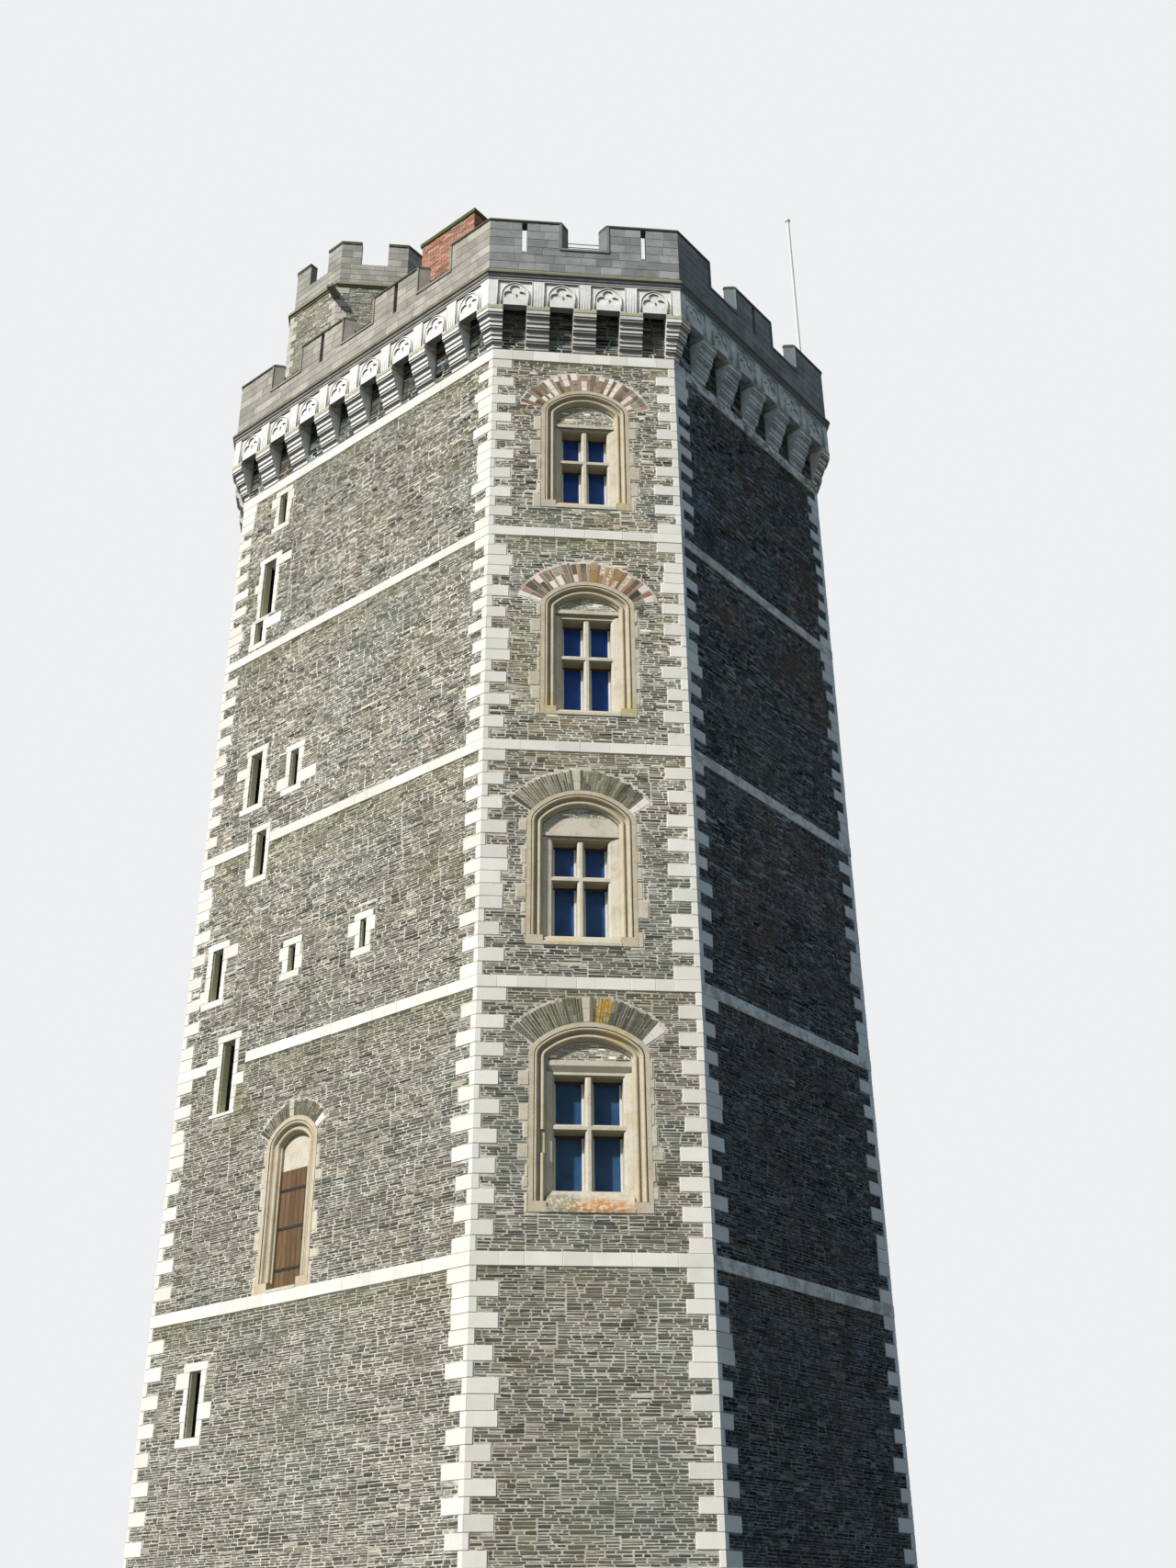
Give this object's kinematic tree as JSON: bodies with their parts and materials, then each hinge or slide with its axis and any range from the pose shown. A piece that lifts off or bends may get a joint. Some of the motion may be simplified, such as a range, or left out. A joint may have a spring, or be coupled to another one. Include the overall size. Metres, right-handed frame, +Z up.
{
  "type": "castle keep",
  "caption": "Tall eight-sided castle keep of slate rubble with white stone bands, tall cross-windows on the front, a corbelled and crenellated crown, a stair turret and a brick chimney.",
  "frame": {"origin": "on the ground, under the middle of the bounding box and of the eight-sided plan", "axes": "+Z up; -Y out of the narrow front side with the four cross-windows; +X to the right of a person facing the front"},
  "size_m": [16.9774, 16.9774, 38.64],
  "materials": {
    "slate_rubble": "rough rubble",
    "white_limestone": "dressed",
    "tympanum_slate": "rough rubble",
    "window_glass": "dark",
    "flagstone": "worn",
    "floor_oak": "planked",
    "door_oak": "weathered planks",
    "crown_limestone": "dressed, mossy on top",
    "weathered_ashlar": "weathered, mossy on top",
    "rail_iron": "painted dark",
    "turret_rubble": "rough rubble",
    "turret_lead": "worn slabs",
    "spout_stone": "mossy",
    "orange_brick": "brick",
    "mossy_coping": "mossy",
    "pole_white": "gloss"
  },
  "bodies": {
    "root": {"front_wall": "slate_rubble", "right_wall": "slate_rubble", "right_flank_wall": "slate_rubble", "rear_right_wall": "slate_rubble", "rear_wall": "slate_rubble", "rear_left_wall": "slate_rubble", "left_flank_wall": "slate_rubble", "left_wall": "slate_rubble", "string_courses": "white_limestone", "ground_floor": "flagstone", "upper_floors": "floor_oak", "roof_terrace": "flagstone", "window_surrounds": "white_limestone", "window_crosses": "white_limestone", "window_tympana": "tympanum_slate", "window_glass": "window_glass", "left_slit_frames": "white_limestone", "rear_slit_frames": "white_limestone", "doorway_surround": "white_limestone", "doorway_lintel": "white_limestone", "doorway_door": "door_oak", "front_corbels": "crown_limestone", "right_corbels": "crown_limestone", "left_corbels": "crown_limestone", "rear_corbels": "crown_limestone", "corner_corbels": "crown_limestone", "front_arcade": "crown_limestone", "right_arcade": "crown_limestone", "left_arcade": "crown_limestone", "narrow_side_arcades": "crown_limestone", "rear_side_arcades": "crown_limestone", "front_parapet": "weathered_ashlar", "right_parapet": "weathered_ashlar", "left_parapet": "weathered_ashlar", "narrow_side_parapets": "weathered_ashlar", "rear_side_parapets": "weathered_ashlar", "guard_rails": "rail_iron", "turret_wall": "turret_rubble", "turret_cornice": "weathered_ashlar", "turret_parapet": "weathered_ashlar", "turret_roof": "turret_lead", "turret_spout": "spout_stone", "chimney_stack": "orange_brick", "chimney_coping": "mossy_coping", "flagpole": "pole_white"}
  },
  "joints": []
}
